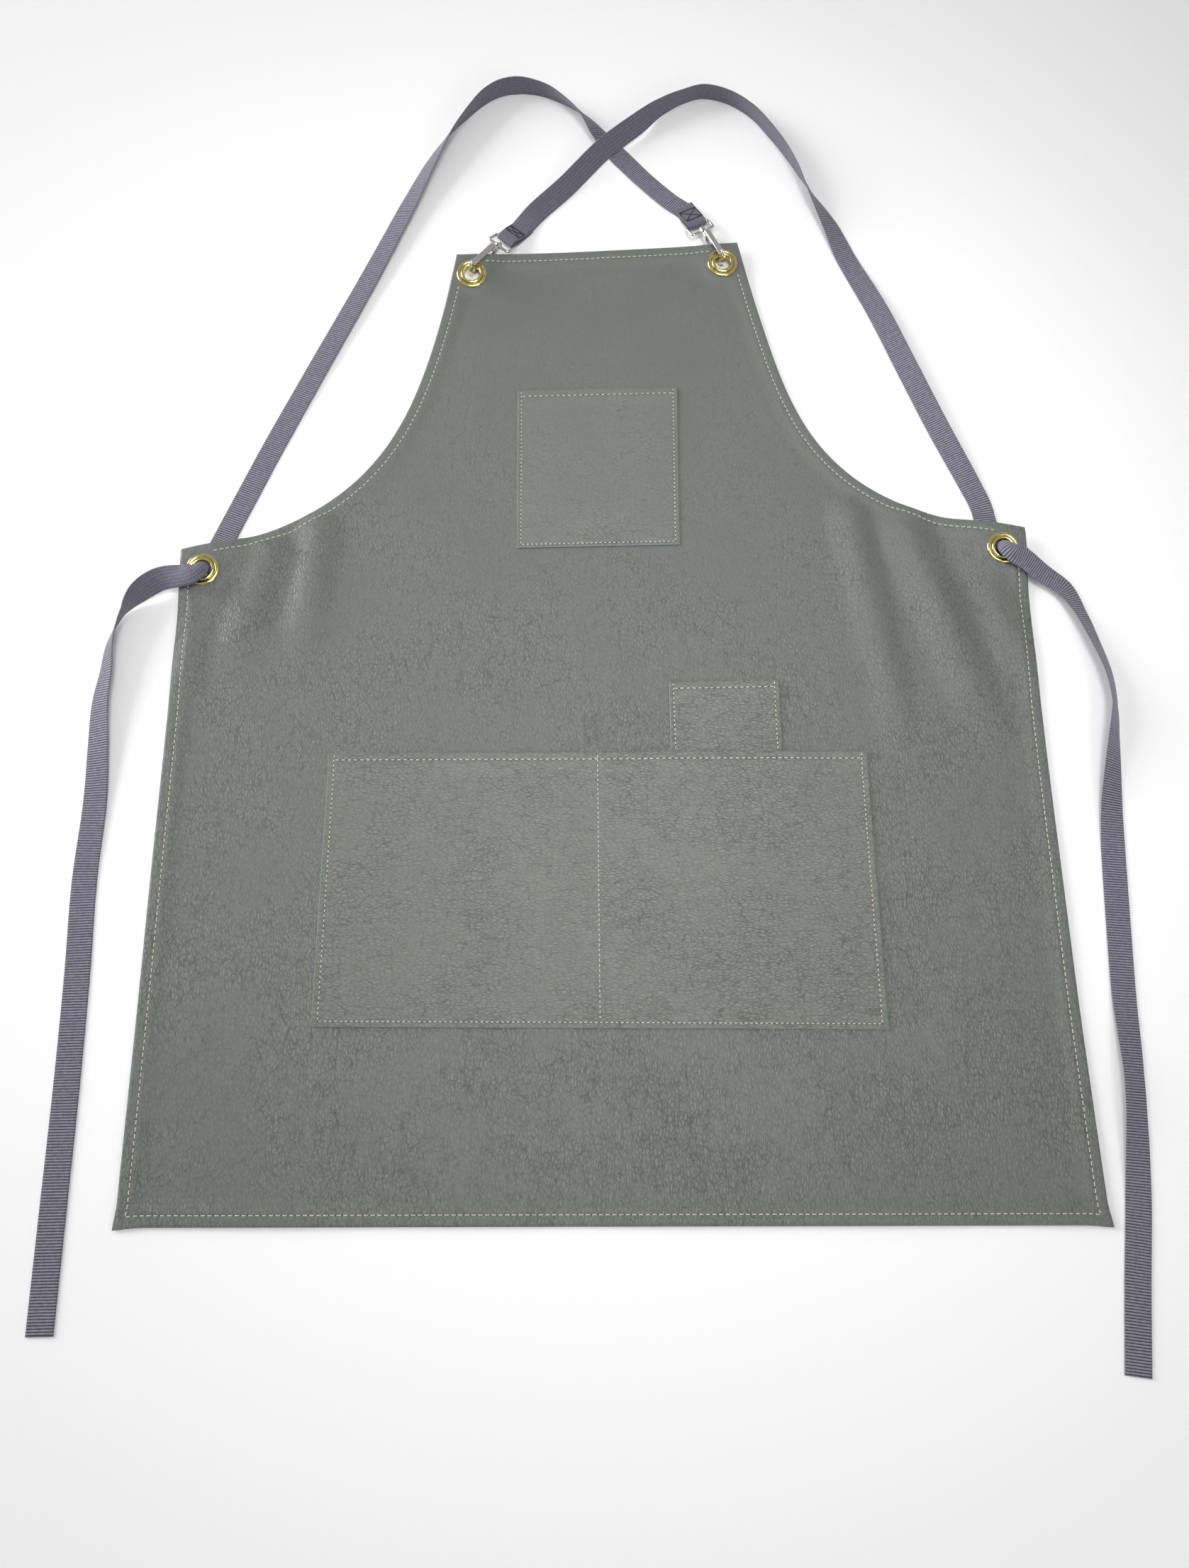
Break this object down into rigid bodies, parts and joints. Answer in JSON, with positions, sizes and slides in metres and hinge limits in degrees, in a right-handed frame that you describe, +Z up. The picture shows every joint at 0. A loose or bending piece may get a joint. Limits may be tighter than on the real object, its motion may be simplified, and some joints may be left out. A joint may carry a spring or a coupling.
{
  "type": "cross-back apron",
  "caption": "Leather work apron lying face up, with patch pockets, brass eyelets and webbing straps that cross behind the neck and clip to the bib with snap hooks.",
  "frame": {"origin": "on the floor under the body, on its centre line, 400 mm up from the hem", "axes": "+Z up from the floor, +Y from the hem to the bib, +X to the right as seen from above"},
  "size_m": [0.8222, 1.1238, 0.0202],
  "materials": {
    "leather": "pebbled, satin",
    "webbing": "ribbed weave",
    "brass": "polished",
    "nickel": "polished nickel plate"
  },
  "bodies": {
    "apron": {"apron_body": "leather", "chest_pocket": "leather", "pen_pocket": "leather", "lower_pocket": "leather", "eyelet_bib_left": "brass", "washer_bib_left": "brass", "eyelet_bib_right": "brass", "washer_bib_right": "brass", "eyelet_hip_left": "brass", "washer_hip_left": "brass", "eyelet_hip_right": "brass", "washer_hip_right": "brass", "hook_eye_left": "nickel", "hook_body_left": "nickel", "hook_eye_right": "nickel", "hook_body_right": "nickel", "strap_right": "webbing", "strap_left": "webbing"},
    "gate_left": {"hook_gate_left": "nickel"},
    "gate_right": {"hook_gate_right": "nickel"}
  },
  "joints": [
    {"name": "gate_left_hinge", "type": "hinge", "parent": "apron", "child": "gate_left", "pos_m": [-0.10095, 0.4311, 0.0132], "axis": [0.7547, -0.6561, 0], "range_deg": [0, 7], "stiffness_Nm_per_rad": 0.02, "springref_deg": -5.73},
    {"name": "gate_right_hinge", "type": "hinge", "parent": "apron", "child": "gate_right", "pos_m": [0.09234, 0.44949, 0.0132], "axis": [0.891, 0.454, 0], "range_deg": [0, 7], "stiffness_Nm_per_rad": 0.02, "springref_deg": -5.73}
  ]
}
